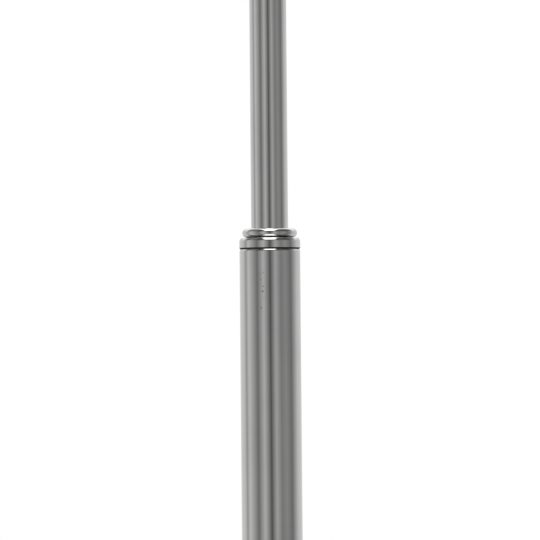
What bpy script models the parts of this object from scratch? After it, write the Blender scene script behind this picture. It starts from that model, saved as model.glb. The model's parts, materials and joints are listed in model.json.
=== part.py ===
# Telescopic screw-out pull-up bar for a doorway. Metres, +Z up, bar along X.
# The origin is the centre of the left pad's outer face, on the bar's axis.
#
# The left pad stands still against its jamb. The thick tube turns on the left
# pad's bolt, and the drive screw turns with it. The nut is pinned to the thin
# tube, which the right pad keeps from turning, so the thin tube slides out.

import math

import bmesh
import bpy

# Overall sizes
REST_LENGTH = 0.762  # pad face to pad face, for a 30 inch doorway
RETRACTION = 0.100  # travel inwards from rest
EXTENSION = 0.150  # travel outwards from rest

# Clearances
GAP = 0.0003  # between pieces that touch or slide
POCKET_GAP = 0.0005  # round a hexagon's corners
STOP_GAP = 0.004  # left at each end of the nut's travel

# Tubes
THICK_DIAMETER = 0.035
THICK_WALL = 0.0015
THICK_LENGTH = 0.412
THIN_DIAMETER = 0.0213
THIN_WALL = 0.002
MOUTH_ROUNDING = 0.0005  # on the thick tube's rim, at the seam
TUBE_EDGE = 0.0003

# Collar and bead at the thick tube's mouth
SEAM = 0.0005  # between the tube's rim and the collar
COLLAR_LENGTH = 0.00585
COLLAR_STEP = 0.0001  # how far the collar stands out over the tube
COLLAR_ROUNDING = 0.0007
COLLAR_SPIGOT = 0.004
COLLAR_BORE_WALL = 0.00175  # wall of the bead's tail, which the collar holds
BEAD_SECTION = 0.0052  # diameter of the bead's round section
WIPER_LENGTH = 0.0027
BUSH_LENGTH = 0.033

# Drive screw and its nut
THREAD_LEAD = 0.005
SCREW_SIDE_GAP = 0.00165  # between the screw and the thin tube that slides over it
SCREW_STEP = 0.001  # from the thread's outside down to the plain journal
SCREW_EDGE = 0.0008
NUT_TURNS = 4  # turns of thread inside the nut
NUT_SOCKET = 0.016  # length of thin tube held in the nut
NUT_SIDE_GAP = 0.0011
NUT_EDGE = 0.0006
GUIDE_LENGTH = 0.0094
GUIDE_DEPTH = 0.0015  # groove in the nut that holds the guide ring
GUIDE_INSET = 0.003
GUIDE_SLIT = 0.0015
STOP_BOLT_DIAMETER = 0.006
STOP_BOLT_ACROSS = 0.010
STOP_BOLT_HEAD = 0.004
STOP_BOLT_LENGTH = 0.014
STOP_WASHER_THICKNESS = 0.002
STOP_WASHER_SIDE_GAP = 0.00045

# Rubber pads
PAD_DIAMETER = 0.064
PAD_THICKNESS = 0.006
PAD_ROUNDING = 0.0015
PAD_LIP_WALL = 0.0015
PAD_LIP_REACH = 0.003
GROOVE_COUNT = 3
GROOVE_FIRST = 0.011
GROOVE_PITCH = 0.006
GROOVE_WIDTH = 0.002
GROOVE_DEPTH = 0.001

# Pad flanges
FLANGE_THICKNESS = 0.0027
FLANGE_EDGE = 0.0004
BELL_LENGTH = 0.009
BELL_FOOT_GAP = 0.002
LEFT_WEB = 0.009
RIGHT_WEB = 0.006
RIGHT_SOCKET = 0.014  # length of thin tube held in the right flange
RIGHT_HUB_WALL = 0.0032

# Pad bolts
BOLT_DIAMETER = 0.010
BOLT_ACROSS = 0.017
BOLT_HEAD = 0.006
BOLT_INSET = 0.0004
BOLT_TAIL = 0.002  # bolt left standing past its nut
BOLT_TIP = 0.001  # chamfer on a bolt's end
HEX_CHAMFER = 0.0009
NUT_HEIGHT = 0.009
WASHER_THICKNESS = 0.002
WASHER_EDGE = 0.0003
WASHER_SIDE_GAP = 0.0012  # between the pivot washer and the plug's hollow
THRUST_EDGE_GAP = 0.002  # from the thrust washer's edge to the tube's outside
SPRING_WASHER_THICKNESS = 0.0016
SPRING_WASHER_RIM = 0.0034
SPRING_WASHER_SLIT = 0.0015
RIGHT_BOLT_LENGTH = 0.030

# Plugs and cross pins
PLUG_FLANGE = 0.0034
PLUG_EDGE = 0.0006
PLUG_WEB = 0.0134
PLUG_NUT_ROOM = 0.022  # depth of the hollow that the pivot nut sits in
PLUG_NUT_WALL = 0.0037
PIN_DIAMETER = 0.004
PIN_EDGE = 0.0004
PIN_SINK = 0.0002  # how far a pin's end lies below the tube's surface
PIN_TO_END = 0.0045  # from a plug's inner end to its cross pin
ANCHOR_PIN_DIAMETER = 0.005
ANCHOR_SPACE = 0.004
ANCHOR_LENGTH = 0.022
RIGHT_PLUG_LENGTH = 0.030
NUT_PIN_REACH = 0.0003  # inside the thin tube's bore

# Foam grips
FOAM_THICKNESS = 0.0055
FOAM_ROUNDING = 0.0022
THICK_GRIP_LENGTH = 0.160
THICK_GRIP_SPACE = 0.014  # from the anchor's end to the grip
THIN_GRIP_LENGTH = 0.118
THIN_GRIP_SPACE = 0.002  # from the right plug's end to the grip

# Sides of a turned piece, and steps on a rounded edge
TUBE_SIDES = 36
HIDDEN_SIDES = 24
SMALL_SIDES = 18
ROUND_STEPS = 2
BELL_STEPS = 4
BEAD_STEPS = 10
SHARP_ANGLE = math.radians(35)
MERGE = 0.00001
CUT_OVERRUN = 0.002  # how far a cutter stands past what it cuts

# Radii worked out from the sizes above
THICK_RADIUS = THICK_DIAMETER / 2
THICK_BORE = THICK_RADIUS - THICK_WALL
INSIDE_THICK = THICK_BORE - GAP
THIN_RADIUS = THIN_DIAMETER / 2
THIN_BORE = THIN_RADIUS - THIN_WALL
AROUND_THIN = THIN_RADIUS + GAP
BOLT_RADIUS = BOLT_DIAMETER / 2
BOLT_HOLE = BOLT_RADIUS + GAP
POCKET_RADIUS = BOLT_ACROSS / math.sqrt(3) + POCKET_GAP
PAD_RADIUS = PAD_DIAMETER / 2
FLANGE_RADIUS = PAD_RADIUS - PAD_LIP_WALL - GAP
LIP_INNER = FLANGE_RADIUS - PAD_LIP_REACH
BELL_FOOT = LIP_INNER - BELL_FOOT_GAP
NUT_ROOM_RADIUS = INSIDE_THICK - PLUG_NUT_WALL
PIN_RADIUS = PIN_DIAMETER / 2
ANCHOR_PIN_RADIUS = ANCHOR_PIN_DIAMETER / 2
TAIL_RADIUS = AROUND_THIN + COLLAR_BORE_WALL
SCREW_RADIUS = THIN_BORE - SCREW_SIDE_GAP
JOURNAL_RADIUS = SCREW_RADIUS - SCREW_STEP
NUT_RADIUS = THICK_BORE - NUT_SIDE_GAP

# Places from a pad's face inwards, the same on both pads
FLANGE_BACK = PAD_THICKNESS + GAP
FLANGE_FRONT = FLANGE_BACK + FLANGE_THICKNESS
LIP_TOP = FLANGE_FRONT + GAP + PAD_LIP_WALL
HEAD_START = FLANGE_BACK + BOLT_INSET
HEAD_END = HEAD_START + BOLT_HEAD

# Places along the bar from the left pad's face, for the left end
LEFT_POCKET_FLOOR = HEAD_END + GAP
LEFT_HUB_END = LEFT_POCKET_FLOOR + LEFT_WEB
THRUST_START = LEFT_HUB_END + GAP
PLUG_START = THRUST_START + WASHER_THICKNESS + GAP
THICK_START = PLUG_START + PLUG_FLANGE + GAP
PLUG_FLOOR = PLUG_START + PLUG_WEB
PLUG_END = PLUG_FLOOR + PLUG_NUT_ROOM
PIVOT_WASHER_START = PLUG_FLOOR + GAP
PIVOT_NUT_START = PIVOT_WASHER_START + WASHER_THICKNESS + GAP
PIVOT_BOLT_END = PIVOT_NUT_START + NUT_HEIGHT + BOLT_TAIL
PLUG_PIN_PLACE = PLUG_END - PIN_TO_END
ANCHOR_START = PLUG_END + ANCHOR_SPACE
ANCHOR_END = ANCHOR_START + ANCHOR_LENGTH
ANCHOR_PIN_PLACE = ANCHOR_START + ANCHOR_LENGTH / 2
THICK_GRIP_START = ANCHOR_END + THICK_GRIP_SPACE

# Places along the bar for the mouth
MOUTH = THICK_START + THICK_LENGTH
COLLAR_START = MOUTH + SEAM
COLLAR_END = COLLAR_START + COLLAR_LENGTH
COLLAR_TAIL = MOUTH - COLLAR_SPIGOT
BEAD_PLACE = COLLAR_END + GAP + BEAD_SECTION / 2
WIPER_END = COLLAR_TAIL - GAP
WIPER_START = WIPER_END - WIPER_LENGTH
BUSH_END = WIPER_START - GAP
BUSH_START = BUSH_END - BUSH_LENGTH

# Places along the bar for the screw and the nut
SCREW_SHOULDER = ANCHOR_END + GAP
NUT_START = SCREW_SHOULDER + STOP_GAP + RETRACTION
NUT_FLOOR = NUT_START + NUT_TURNS * THREAD_LEAD
NUT_END = NUT_FLOOR + NUT_SOCKET
NUT_PIN_PLACE = NUT_FLOOR + NUT_SOCKET / 2
GUIDE_START = NUT_START + GUIDE_INSET
SCREW_END = NUT_FLOOR + EXTENSION + STOP_GAP
STOP_WASHER_START = SCREW_END + GAP
STOP_HEAD_START = STOP_WASHER_START + STOP_WASHER_THICKNESS + GAP
THIN_START = NUT_FLOOR + GAP

# Places from the right pad's face inwards
SPRING_START = HEAD_END + GAP
RIGHT_POCKET_FLOOR = SPRING_START + SPRING_WASHER_THICKNESS + GAP
RIGHT_SOCKET_FLOOR = RIGHT_POCKET_FLOOR + RIGHT_WEB
RIGHT_HUB_END = RIGHT_SOCKET_FLOOR + RIGHT_SOCKET
RIGHT_TUBE_INSET = RIGHT_SOCKET_FLOOR + GAP
RIGHT_PLUG_END = RIGHT_TUBE_INSET + RIGHT_PLUG_LENGTH
RIGHT_PIN_PLACE = RIGHT_PLUG_END - PIN_TO_END
THIN_GRIP_INSET = RIGHT_PLUG_END + THIN_GRIP_SPACE

# Each surface: colour, roughness, metallic
SURFACES = {
    "chrome": ((0.62, 0.62, 0.61), 0.06, 1.0),
    "zinc_steel": ((0.52, 0.53, 0.52), 0.38, 1.0),
    "black_steel": ((0.030, 0.031, 0.033), 0.42, 0.0),
    "brass": ((0.66, 0.50, 0.24), 0.30, 1.0),
    "white_nylon": ((0.78, 0.77, 0.72), 0.50, 0.0),
    "black_rubber": ((0.022, 0.022, 0.024), 0.78, 0.0),
    "black_foam": ((0.028, 0.028, 0.030), 0.92, 0.0),
}


def clear_scene():
    for piece in list(bpy.data.objects):
        bpy.data.objects.remove(piece, do_unlink=True)


def make_collection(name):
    collection = bpy.data.collections.new(name)
    bpy.context.scene.collection.children.link(collection)
    return collection


def make_surface(name):
    colour, roughness, metallic = SURFACES[name]
    surface = bpy.data.materials.new(name)
    surface.use_nodes = True
    shader = surface.node_tree.nodes["Principled BSDF"]
    shader.inputs["Base Color"].default_value = (*colour, 1.0)
    shader.inputs["Roughness"].default_value = roughness
    shader.inputs["Metallic"].default_value = metallic
    surface.diffuse_color = (*colour, 1.0)
    return surface


# An empty whose Z is the bar's axis, so that a turned piece lies along the bar.
def make_axis(name):
    axis = bpy.data.objects.new(name, None)
    axis.rotation_euler = (0.0, math.pi / 2, 0.0)
    pieces.objects.link(axis)
    return axis


# Profiles are (radius, height) points that run down the outer side.
def ring_profile(outer, inner, bottom, top, edge=0.0, rounded=False):
    if edge == 0.0:
        return [(inner, top), (outer, top), (outer, bottom), (inner, bottom)]
    steps = ROUND_STEPS if rounded else 1
    upper = arc(outer - edge, top - edge, edge, 90, 0, steps)
    lower = arc(outer - edge, bottom + edge, edge, 0, -90, steps)
    return [(inner, top), *upper, *lower, (inner, bottom)]


def arc(radius, height, size, start, end, steps):
    points = []
    for step in range(steps + 1):
        angle = math.radians(start + (end - start) * step / steps)
        points.append((radius + size * math.cos(angle), height + size * math.sin(angle)))
    return points


# A turned piece: the profile goes round the bar's axis. One that starts away
# from the axis is closed into a ring.
def turned(name, profile, surface, body, sides=TUBE_SIDES):
    mesh = bpy.data.meshes.new(name)
    shape = bmesh.new()
    points = [shape.verts.new((radius, 0.0, height)) for radius, height in profile]
    for first, second in zip(points, points[1:]):
        shape.edges.new((first, second))
    if profile[0][0] > 0.0:
        shape.edges.new((points[-1], points[0]))
    shape.to_mesh(mesh)
    shape.free()
    guide = bpy.data.objects.new(name + "_profile", mesh)
    pieces.objects.link(guide)
    screw = guide.modifiers.new("Turn", "SCREW")
    screw.steps = sides
    screw.render_steps = sides
    screw.use_merge_vertices = True
    screw.merge_threshold = MERGE
    graph = bpy.context.evaluated_depsgraph_get()
    solid = bpy.data.meshes.new_from_object(guide.evaluated_get(graph))
    bpy.data.objects.remove(guide)
    return add_piece(name, solid, surface, body)


def add_piece(name, mesh, surface, body):
    mesh.name = name
    mesh.materials.clear()
    mesh.materials.append(surfaces[surface])
    mesh.shade_smooth()
    mesh.set_sharp_from_angle(angle=SHARP_ANGLE)
    piece = bpy.data.objects.new(name, mesh)
    piece.parent = body
    pieces.objects.link(piece)
    return piece


# A piece that is modelled from the right pad's face inwards is turned round.
def put_on_right_end(piece):
    piece.location.z = REST_LENGTH
    piece.rotation_euler.x = math.pi
    return piece


def add_cutter(name, mesh, body):
    cutter = bpy.data.objects.new(name, mesh)
    cutter.parent = body
    cutter.hide_render = True
    cutter.display_type = "WIRE"
    cutters.objects.link(cutter)
    return cutter


def prism_mesh(name, radius, length, sides):
    mesh = bpy.data.meshes.new(name)
    shape = bmesh.new()
    bmesh.ops.create_cone(
        shape, cap_ends=True, segments=sides, radius1=radius, radius2=radius, depth=length
    )
    shape.to_mesh(mesh)
    shape.free()
    return mesh


def combine(piece, cutter, operation):
    boolean = piece.modifiers.new(cutter.name, "BOOLEAN")
    boolean.operation = operation
    boolean.object = cutter
    boolean.solver = "EXACT"


# A hole straight across the bar, for a cross pin, in every piece it passes.
def drill_across(name, radius, reach, place, body, drilled):
    mesh = prism_mesh(name, radius, 2 * reach, SMALL_SIDES)
    drill = add_cutter(name, mesh, body)
    drill.location.z = place
    drill.rotation_euler.y = math.pi / 2
    for piece in drilled:
        combine(piece, drill, "DIFFERENCE")


# A slit through one side of a ring, so that it can spring open.
def slit(piece, width, outer, bottom, top, body):
    mesh = bpy.data.meshes.new(piece.name + "_slit")
    shape = bmesh.new()
    bmesh.ops.create_cube(shape, size=1.0)
    size = (outer + CUT_OVERRUN, width, top - bottom + 2 * CUT_OVERRUN)
    bmesh.ops.scale(shape, vec=size, verts=shape.verts)
    bmesh.ops.translate(
        shape, vec=(size[0] / 2, 0.0, (top + bottom) / 2), verts=shape.verts
    )
    shape.to_mesh(mesh)
    shape.free()
    cutter = add_cutter(mesh.name, mesh, body)
    cutter.location = piece.location
    cutter.rotation_euler = piece.rotation_euler
    combine(piece, cutter, "DIFFERENCE")


# Cuts a turned head or nut to a hexagon. What is narrower stays round.
def make_hexagonal(piece, across, bottom, top, body):
    length = top - bottom + 2 * CUT_OVERRUN
    mesh = prism_mesh(piece.name + "_hexagon", across / math.sqrt(3), length, 6)
    hexagon = add_cutter(mesh.name, mesh, body)
    middle = (top + bottom) / 2
    turned_round = piece.rotation_euler.x != 0.0
    hexagon.location.z = REST_LENGTH - middle if turned_round else middle
    combine(piece, hexagon, "INTERSECT")


def cross_pin(name, radius, reach, place, body):
    profile = ring_profile(radius, 0.0, -reach, reach, PIN_EDGE)
    pin = turned(name, profile, "zinc_steel", body, SMALL_SIDES)
    pin.location.z = place
    pin.rotation_euler.y = math.pi / 2
    return pin


def hex_bolt_profile(across, radius, head_start, head_end, end):
    corner = across / math.sqrt(3)
    return [
        (0.0, end),
        (radius - BOLT_TIP, end),
        (radius, end - BOLT_TIP),
        (radius, head_end),
        (corner, head_end),
        (corner, head_start + HEX_CHAMFER),
        (corner - 2 * HEX_CHAMFER, head_start),
        (0.0, head_start),
    ]


def washer(name, hole, outer, start, thickness, surface, body):
    profile = ring_profile(outer, hole, start, start + thickness, WASHER_EDGE)
    return turned(name, profile, surface, body, SMALL_SIDES)


# Both pads


def rubber_pad(name, body):
    profile = [
        (0.0, PAD_THICKNESS),
        (FLANGE_RADIUS + GAP, PAD_THICKNESS),
        (FLANGE_RADIUS + GAP, FLANGE_FRONT + GAP),
        (LIP_INNER, FLANGE_FRONT + GAP),
        (LIP_INNER, LIP_TOP),
    ]
    profile += arc(
        PAD_RADIUS - PAD_ROUNDING, LIP_TOP - PAD_ROUNDING, PAD_ROUNDING, 90, 0, ROUND_STEPS
    )
    profile += arc(PAD_RADIUS - PAD_ROUNDING, PAD_ROUNDING, PAD_ROUNDING, 0, -90, ROUND_STEPS)
    for groove in reversed(range(GROOVE_COUNT)):
        middle = GROOVE_FIRST + GROOVE_PITCH * groove
        profile += [
            (middle + GROOVE_WIDTH / 2, 0.0),
            (middle + GROOVE_WIDTH / 4, GROOVE_DEPTH),
            (middle - GROOVE_WIDTH / 4, GROOVE_DEPTH),
            (middle - GROOVE_WIDTH / 2, 0.0),
        ]
    profile.append((0.0, 0.0))
    return turned(name, profile, "black_rubber", body)


# The bell between a flange's disc and its hub is a quarter of an ellipse.
def flange_outline(hub_radius, hub_end, bell_length):
    bell_top = FLANGE_FRONT + bell_length
    outline = [(hub_radius - FLANGE_EDGE, hub_end), (hub_radius, hub_end - FLANGE_EDGE)]
    for step in range(BELL_STEPS + 1):
        angle = math.pi / 2 * step / BELL_STEPS
        outline.append(
            (
                BELL_FOOT - (BELL_FOOT - hub_radius) * math.cos(angle),
                bell_top - bell_length * math.sin(angle),
            )
        )
    outline += [
        (FLANGE_RADIUS - FLANGE_EDGE, FLANGE_FRONT),
        (FLANGE_RADIUS, FLANGE_FRONT - FLANGE_EDGE),
        (FLANGE_RADIUS, FLANGE_BACK + FLANGE_EDGE),
        (FLANGE_RADIUS - FLANGE_EDGE, FLANGE_BACK),
        (POCKET_RADIUS, FLANGE_BACK),
    ]
    return outline


# Left end, which stands still


def left_pad_flange():
    profile = [
        (BOLT_HOLE, LEFT_HUB_END),
        *flange_outline(THICK_RADIUS, LEFT_HUB_END, BELL_LENGTH),
        (POCKET_RADIUS, LEFT_POCKET_FLOOR),
        (BOLT_HOLE, LEFT_POCKET_FLOOR),
    ]
    return turned("left_pad_flange", profile, "black_steel", left_pad)


def left_pivot_bolt():
    profile = hex_bolt_profile(
        BOLT_ACROSS, BOLT_RADIUS, HEAD_START, HEAD_END, PIVOT_BOLT_END
    )
    bolt = turned("left_pivot_bolt", profile, "zinc_steel", left_pad, SMALL_SIDES)
    make_hexagonal(bolt, BOLT_ACROSS, HEAD_START, PIVOT_BOLT_END, left_pad)


def left_thrust_washer():
    outer = THICK_RADIUS - THRUST_EDGE_GAP
    washer(
        "left_thrust_washer", BOLT_HOLE, outer, THRUST_START, WASHER_THICKNESS,
        "white_nylon", left_pad,
    )


def left_pivot_washer():
    outer = NUT_ROOM_RADIUS - WASHER_SIDE_GAP
    washer(
        "left_pivot_washer", BOLT_HOLE, outer, PIVOT_WASHER_START, WASHER_THICKNESS,
        "zinc_steel", left_pad,
    )


def left_pivot_nut():
    corner = BOLT_ACROSS / math.sqrt(3)
    top = PIVOT_NUT_START + NUT_HEIGHT
    profile = ring_profile(corner, BOLT_HOLE, PIVOT_NUT_START, top, HEX_CHAMFER)
    nut = turned("left_pivot_nut", profile, "zinc_steel", left_pad, SMALL_SIDES)
    make_hexagonal(nut, BOLT_ACROSS, PIVOT_NUT_START, top, left_pad)


# Thick side, which turns


def thick_tube():
    rim = arc(
        THICK_RADIUS - MOUTH_ROUNDING, MOUTH - MOUTH_ROUNDING, MOUTH_ROUNDING, 90, 0, ROUND_STEPS
    )
    profile = [
        (THICK_BORE, MOUTH),
        *rim,
        (THICK_RADIUS, THICK_START + TUBE_EDGE),
        (THICK_RADIUS - TUBE_EDGE, THICK_START),
        (THICK_BORE, THICK_START),
    ]
    return turned("thick_tube", profile, "chrome", thick_side)


def left_end_plug():
    profile = [
        (NUT_ROOM_RADIUS, PLUG_END),
        (INSIDE_THICK, PLUG_END),
        (INSIDE_THICK, PLUG_START + PLUG_FLANGE),
        (THICK_RADIUS, PLUG_START + PLUG_FLANGE),
        (THICK_RADIUS, PLUG_START + PLUG_EDGE),
        (THICK_RADIUS - PLUG_EDGE, PLUG_START),
        (BOLT_HOLE, PLUG_START),
        (BOLT_HOLE, PLUG_FLOOR),
        (NUT_ROOM_RADIUS, PLUG_FLOOR),
    ]
    return turned("left_end_plug", profile, "zinc_steel", thick_side, HIDDEN_SIDES)


def screw_anchor():
    bore = JOURNAL_RADIUS + GAP
    profile = ring_profile(INSIDE_THICK, bore, ANCHOR_START, ANCHOR_END, PLUG_EDGE)
    return turned("screw_anchor", profile, "zinc_steel", thick_side, HIDDEN_SIDES)


def drive_screw():
    stop_hole = STOP_BOLT_DIAMETER / 2 + GAP
    profile = [
        (0.0, SCREW_END - STOP_BOLT_LENGTH - GAP),
        (stop_hole, SCREW_END - STOP_BOLT_LENGTH - GAP),
        (stop_hole, SCREW_END),
        (SCREW_RADIUS - SCREW_EDGE, SCREW_END),
        (SCREW_RADIUS, SCREW_END - SCREW_EDGE),
        (SCREW_RADIUS, SCREW_SHOULDER),
        (JOURNAL_RADIUS, SCREW_SHOULDER),
        (JOURNAL_RADIUS, ANCHOR_START),
        (0.0, ANCHOR_START),
    ]
    return turned("drive_screw", profile, "zinc_steel", thick_side, SMALL_SIDES)


def screw_stop():
    hole = STOP_BOLT_DIAMETER / 2 + GAP
    outer = THIN_BORE - STOP_WASHER_SIDE_GAP
    washer(
        "screw_stop_washer", hole, outer, STOP_WASHER_START, STOP_WASHER_THICKNESS,
        "zinc_steel", thick_side,
    )
    head_end = STOP_HEAD_START + STOP_BOLT_HEAD
    corner = STOP_BOLT_ACROSS / math.sqrt(3)
    radius = STOP_BOLT_DIAMETER / 2
    tip = SCREW_END - STOP_BOLT_LENGTH
    profile = [
        (0.0, head_end),
        (corner - 2 * HEX_CHAMFER, head_end),
        (corner, head_end - HEX_CHAMFER),
        (corner, STOP_HEAD_START),
        (radius, STOP_HEAD_START),
        (radius, tip),
        (0.0, tip),
    ]
    bolt = turned("screw_stop_bolt", profile, "zinc_steel", thick_side, SMALL_SIDES)
    make_hexagonal(bolt, STOP_BOLT_ACROSS, tip, head_end, thick_side)


def guide_bush():
    profile = ring_profile(INSIDE_THICK, AROUND_THIN, BUSH_START, BUSH_END, PLUG_EDGE)
    return turned("guide_bush", profile, "white_nylon", thick_side, HIDDEN_SIDES)


def wiper_ring():
    profile = ring_profile(INSIDE_THICK, AROUND_THIN, WIPER_START, WIPER_END, TUBE_EDGE)
    return turned("wiper_ring", profile, "black_rubber", thick_side, HIDDEN_SIDES)


def mouth_collar():
    outer = THICK_RADIUS + COLLAR_STEP
    bore = TAIL_RADIUS + GAP
    rounding = arc(
        outer - COLLAR_ROUNDING, COLLAR_END - COLLAR_ROUNDING, COLLAR_ROUNDING, 90, 0, ROUND_STEPS
    )
    profile = [
        (bore, COLLAR_END),
        *rounding,
        (outer, COLLAR_START + TUBE_EDGE),
        (outer - TUBE_EDGE, COLLAR_START),
        (INSIDE_THICK, COLLAR_START),
        (INSIDE_THICK, COLLAR_TAIL),
        (bore, COLLAR_TAIL),
    ]
    return turned("mouth_collar", profile, "chrome", thick_side)


# The bead's round section lies against the thin tube, cut away to clear it,
# and its tail goes down inside the collar.
def bead_ring():
    size = BEAD_SECTION / 2
    middle = THIN_RADIUS + size
    start = math.degrees(math.acos((AROUND_THIN - middle) / size))
    end = -math.degrees(math.acos((TAIL_RADIUS - middle) / size))
    profile = arc(middle, BEAD_PLACE, size, start, end, BEAD_STEPS)
    profile += [(TAIL_RADIUS, COLLAR_TAIL), (AROUND_THIN, COLLAR_TAIL)]
    return turned("bead_ring", profile, "chrome", thick_side)


def foam_grip(name, tube_radius, start, length, body):
    outer = tube_radius + GAP + FOAM_THICKNESS
    inner = tube_radius + GAP
    profile = ring_profile(outer, inner, start, start + length, FOAM_ROUNDING, True)
    return turned(name, profile, "black_foam", body)


# Thin side, which slides


def thin_tube():
    end = REST_LENGTH - RIGHT_TUBE_INSET
    profile = ring_profile(THIN_RADIUS, THIN_BORE, THIN_START, end, TUBE_EDGE)
    return turned("thin_tube", profile, "chrome", thin_side)


def drive_nut():
    groove = NUT_RADIUS - GUIDE_DEPTH
    groove_top = GUIDE_START + GUIDE_LENGTH + 2 * GAP
    profile = [
        (AROUND_THIN, NUT_END),
        (NUT_RADIUS - NUT_EDGE, NUT_END),
        (NUT_RADIUS, NUT_END - NUT_EDGE),
        (NUT_RADIUS, groove_top),
        (groove, groove_top),
        (groove, GUIDE_START),
        (NUT_RADIUS, GUIDE_START),
        (NUT_RADIUS, NUT_START + NUT_EDGE),
        (NUT_RADIUS - NUT_EDGE, NUT_START),
        (SCREW_RADIUS + GAP, NUT_START),
        (SCREW_RADIUS + GAP, NUT_FLOOR),
        (AROUND_THIN, NUT_FLOOR),
    ]
    return turned("drive_nut", profile, "brass", thin_side, HIDDEN_SIDES)


def guide_ring():
    inner = NUT_RADIUS - GUIDE_DEPTH + GAP
    bottom = GUIDE_START + GAP
    top = bottom + GUIDE_LENGTH
    profile = ring_profile(INSIDE_THICK, inner, bottom, top, TUBE_EDGE)
    ring = turned("guide_ring", profile, "white_nylon", thin_side, HIDDEN_SIDES)
    slit(ring, GUIDE_SLIT, INSIDE_THICK, bottom, top, thin_side)


# Each nut pin goes through the nut and one wall of the thin tube.
def nut_pin(name, turn):
    inner = THIN_BORE + NUT_PIN_REACH
    outer = NUT_RADIUS - GAP
    profile = ring_profile(PIN_RADIUS, 0.0, inner, outer, PIN_EDGE)
    pin = turned(name, profile, "zinc_steel", thin_side, SMALL_SIDES)
    pin.location.z = NUT_PIN_PLACE
    pin.rotation_euler.y = turn


def right_end_plug():
    inside = THIN_BORE - GAP
    profile = ring_profile(inside, BOLT_HOLE, RIGHT_TUBE_INSET, RIGHT_PLUG_END, PLUG_EDGE)
    plug = turned("right_end_plug", profile, "zinc_steel", thin_side, HIDDEN_SIDES)
    return put_on_right_end(plug)


def right_pad_flange():
    hub = AROUND_THIN + RIGHT_HUB_WALL
    profile = [
        (AROUND_THIN, RIGHT_HUB_END),
        *flange_outline(hub, RIGHT_HUB_END, BELL_LENGTH + RIGHT_HUB_WALL),
        (POCKET_RADIUS, RIGHT_POCKET_FLOOR),
        (BOLT_HOLE, RIGHT_POCKET_FLOOR),
        (BOLT_HOLE, RIGHT_SOCKET_FLOOR),
        (AROUND_THIN, RIGHT_SOCKET_FLOOR),
    ]
    put_on_right_end(turned("right_pad_flange", profile, "black_steel", thin_side))


def right_pad_bolt():
    end = HEAD_END + RIGHT_BOLT_LENGTH
    profile = hex_bolt_profile(BOLT_ACROSS, BOLT_RADIUS, HEAD_START, HEAD_END, end)
    bolt = turned("right_pad_bolt", profile, "zinc_steel", thin_side, SMALL_SIDES)
    put_on_right_end(bolt)
    make_hexagonal(bolt, BOLT_ACROSS, HEAD_START, end, thin_side)


def right_spring_washer():
    outer = BOLT_HOLE + SPRING_WASHER_RIM
    ring = washer(
        "right_spring_washer", BOLT_HOLE, outer, SPRING_START,
        SPRING_WASHER_THICKNESS, "zinc_steel", thin_side,
    )
    put_on_right_end(ring)
    top = SPRING_START + SPRING_WASHER_THICKNESS
    slit(ring, SPRING_WASHER_SLIT, outer, SPRING_START, top, thin_side)


def make_left_pad():
    rubber_pad("left_rubber_pad", left_pad)
    left_pad_flange()
    left_pivot_bolt()
    left_thrust_washer()
    left_pivot_washer()
    left_pivot_nut()


def make_thick_side():
    tube = thick_tube()
    plug = left_end_plug()
    anchor = screw_anchor()
    screw = drive_screw()
    reach = THICK_RADIUS + CUT_OVERRUN
    pin_reach = THICK_RADIUS - PIN_SINK
    drill_across(
        "plug_pin_hole", PIN_RADIUS + GAP, reach, PLUG_PIN_PLACE, thick_side, [tube, plug]
    )
    cross_pin("left_plug_pin", PIN_RADIUS, pin_reach, PLUG_PIN_PLACE, thick_side)
    drill_across(
        "anchor_pin_hole", ANCHOR_PIN_RADIUS + GAP, reach, ANCHOR_PIN_PLACE, thick_side,
        [tube, anchor, screw],
    )
    cross_pin("screw_anchor_pin", ANCHOR_PIN_RADIUS, pin_reach, ANCHOR_PIN_PLACE, thick_side)
    screw_stop()
    guide_bush()
    wiper_ring()
    mouth_collar()
    bead_ring()
    foam_grip("thick_grip", THICK_RADIUS, THICK_GRIP_START, THICK_GRIP_LENGTH, thick_side)


def make_thin_side():
    tube = thin_tube()
    nut = drive_nut()
    plug = right_end_plug()
    guide_ring()
    drill_across(
        "nut_pin_hole", PIN_RADIUS + GAP, THICK_RADIUS, NUT_PIN_PLACE, thin_side, [tube, nut]
    )
    nut_pin("nut_pin_lower", math.pi / 2)
    nut_pin("nut_pin_upper", -math.pi / 2)
    pin_place = REST_LENGTH - RIGHT_PIN_PLACE
    drill_across(
        "right_pin_hole", PIN_RADIUS + GAP, THIN_RADIUS + CUT_OVERRUN, pin_place, thin_side,
        [tube, plug],
    )
    cross_pin("right_plug_pin", PIN_RADIUS, THIN_RADIUS - PIN_SINK, pin_place, thin_side)
    right_pad_flange()
    right_pad_bolt()
    right_spring_washer()
    put_on_right_end(rubber_pad("right_rubber_pad", thin_side))
    grip_start = REST_LENGTH - THIN_GRIP_INSET - THIN_GRIP_LENGTH
    foam_grip("thin_grip", THIN_RADIUS, grip_start, THIN_GRIP_LENGTH, thin_side)


clear_scene()
pieces = make_collection("pull_up_bar")
cutters = make_collection("cutters")
surfaces = {name: make_surface(name) for name in SURFACES}
left_pad = make_axis("left_pad_axis")
thick_side = make_axis("thick_side_turning_axis")
thin_side = make_axis("thin_side_sliding_axis")
make_left_pad()
make_thick_side()
make_thin_side()
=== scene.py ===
import json
import math

import bmesh
import bpy
from mathutils import Matrix, Vector, noise


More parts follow.
